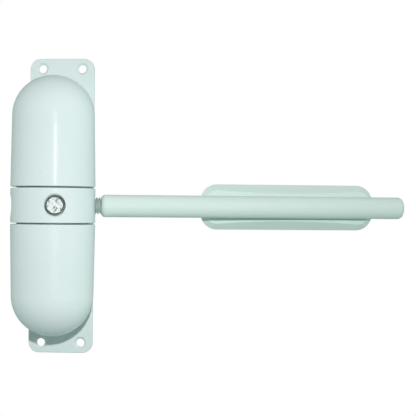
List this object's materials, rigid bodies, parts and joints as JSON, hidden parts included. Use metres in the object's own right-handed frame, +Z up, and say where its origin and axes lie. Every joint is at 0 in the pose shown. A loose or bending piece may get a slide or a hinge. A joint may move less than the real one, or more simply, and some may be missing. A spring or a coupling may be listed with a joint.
{
  "type": "door closer",
  "caption": "Surface-mounted spring door closer: two domed covers, a turning collar between them, a sleeved arm and the slide plate it presses on.",
  "frame": {"origin": "centre of the mounting plate's back face, at the collar's mid-height", "axes": "+X along the wall towards the arm and slide plate, +Y into the wall, -Y into the room, +Z up along the turning axis"},
  "size_m": [0.2284, 0.0822, 0.175],
  "materials": {
    "white_enamel": "glossy pale mint-white stoved enamel",
    "zinc_plate": "bright zinc plating",
    "plain_steel": "turned or pressed steel, lightly oiled",
    "spring_steel": "oil-tempered spring wire",
    "bronze": "sintered bronze",
    "white_nylon": "moulded mint-white nylon, semi-gloss",
    "natural_nylon": "natural nylon"
  },
  "bodies": {
    "housing": {"mounting_plate": "white_enamel", "upper_cover": "white_enamel", "lower_cover": "white_enamel", "cover_screws": "zinc_plate", "bracket_screws": "zinc_plate", "upper_bracket": "plain_steel", "lower_bracket": "plain_steel", "spindle": "plain_steel", "spindle_washers": "zinc_plate", "spindle_nuts": "zinc_plate", "upper_thrust_washer": "natural_nylon", "lower_thrust_washer": "natural_nylon", "upper_mandrel": "plain_steel", "lower_mandrel": "plain_steel", "mandrel_pins": "plain_steel", "upper_spring": "spring_steel", "lower_spring": "spring_steel"},
    "arm": {"drive_hub": "zinc_plate", "upper_bush": "bronze", "lower_bush": "bronze", "collar": "white_enamel", "socket_plugs": "zinc_plate", "arm_rod": "zinc_plate"},
    "sleeve": {"arm_sleeve": "white_nylon"},
    "door_pad": {"slide_plate": "white_nylon"}
  },
  "joints": [
    {"name": "arm_swing", "type": "hinge", "parent": "housing", "child": "arm", "pos_m": [0, -0.0273, 0], "axis": [0, 0, -1], "range_deg": [0, 95.5], "stiffness_Nm_per_rad": 1.5, "deforming": ["upper_spring", "lower_spring"]},
    {"name": "sleeve_spin", "type": "hinge", "parent": "arm", "child": "sleeve", "pos_m": [0, -0.0273, 0], "axis": [0.9703, 0.2419, 0], "continuous": true},
    {"name": "door_swing", "type": "hinge", "parent": "housing", "child": "door_pad", "pos_m": [0.028, -0.005, 0], "axis": [0, 0, -1], "range_deg": [0, 101.1]}
  ],
  "couplings": [
    {"joint": "door_swing", "follows": "arm_swing", "ratio": 1.0576}
  ]
}
